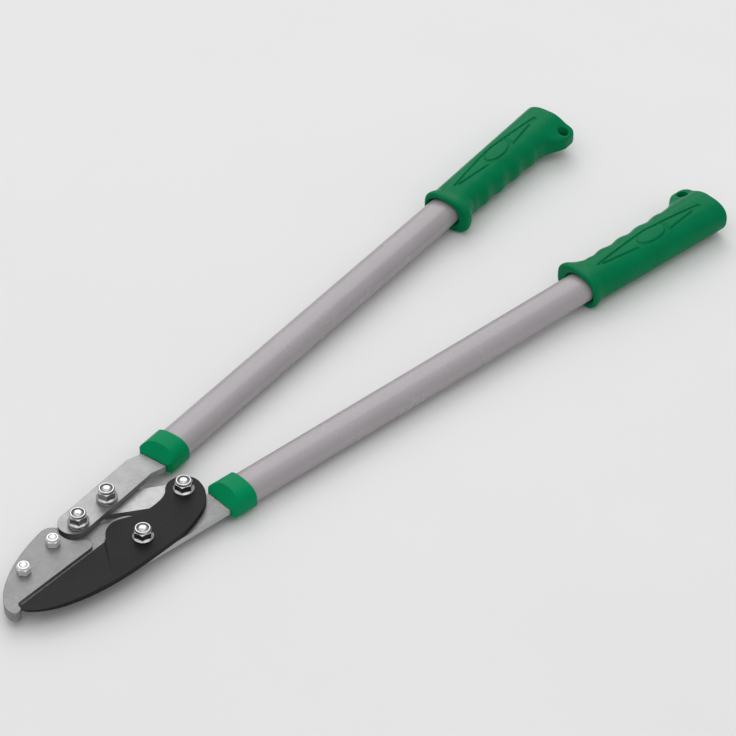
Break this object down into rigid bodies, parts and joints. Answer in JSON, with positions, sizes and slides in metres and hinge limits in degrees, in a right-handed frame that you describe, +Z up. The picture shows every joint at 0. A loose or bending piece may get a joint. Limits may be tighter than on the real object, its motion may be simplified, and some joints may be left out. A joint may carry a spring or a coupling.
{
  "type": "anvil lopper",
  "caption": "Long-handled anvil lopper with a compound link: a pivoting blade closes on a bolted anvil jaw as two oval-tube handles with moulded grips are drawn together.",
  "frame": {"origin": "centre of the plan box of the closed tool, on the surface that the grip rims touch", "axes": "+X from the jaws to the grips along the line midway between the handles, +Y to the upper handle, +Z up, square to the plates"},
  "size_m": [0.738, 0.2212, 0.0369],
  "materials": {
    "dull_zinc": "zinc-plated steel plate, dulled",
    "bright_zinc": "bright zinc-plated steel flat bar",
    "bright_plating": "bright plated steel fastener",
    "black_coating": "satin black low-friction coating on tool steel",
    "nylon": "dark grey nylon",
    "tube_paint": "grey powder paint on steel tube",
    "green_plastic": "semi-gloss green moulded plastic"
  },
  "bodies": {
    "lower_handle": {"base_plate": "dull_zinc", "anvil_cheek": "dull_zinc", "anvil_bolts": "bright_plating", "anvil_nuts": "bright_plating", "anvil_lock_rings": "nylon", "blade_pivot_bolt": "bright_plating", "blade_pivot_nut": "bright_plating", "blade_pivot_lock_ring": "nylon", "handle_pivot_bolt": "bright_plating", "handle_pivot_washer": "bright_plating", "handle_pivot_nut": "bright_plating", "handle_pivot_lock_ring": "nylon", "lower_tube": "tube_paint", "lower_ferrule": "green_plastic", "lower_grip": "green_plastic", "lower_tang_wedges": "nylon", "lower_tang_rivet": "bright_plating"},
    "blade": {"blade": "black_coating", "link_rear_bolt": "bright_plating", "link_rear_nut": "bright_plating", "link_rear_lock_ring": "nylon"},
    "link": {"link_plate": "bright_zinc"},
    "upper_handle": {"upper_bar": "bright_zinc", "link_front_bolt": "bright_plating", "link_front_washer": "bright_plating", "link_front_nut": "bright_plating", "link_front_lock_ring": "nylon", "upper_tube": "tube_paint", "upper_ferrule": "green_plastic", "upper_grip": "green_plastic", "upper_tang_wedges": "nylon", "upper_tang_rivet": "bright_plating"}
  },
  "joints": [
    {"name": "handle_hinge", "type": "hinge", "parent": "lower_handle", "child": "upper_handle", "pos_m": [-0.2698, 0.0221, 0.0213], "axis": [0, 0, 1], "range_deg": [0, 60]},
    {"name": "blade_hinge", "type": "hinge", "parent": "lower_handle", "child": "blade", "pos_m": [-0.2456, -0.0231, 0.0208], "axis": [0, 0, 1], "range_deg": [0, 34.1]},
    {"name": "link_hinge", "type": "hinge", "parent": "upper_handle", "child": "link", "pos_m": [-0.2358, 0.0257, 0.016], "axis": [0, 0, 1], "range_deg": [-58.1, 0]}
  ],
  "couplings": [
    {"joint": "blade_hinge", "follows": "handle_hinge", "ratio": 0.5674},
    {"joint": "link_hinge", "follows": "handle_hinge", "ratio": -0.9675}
  ]
}
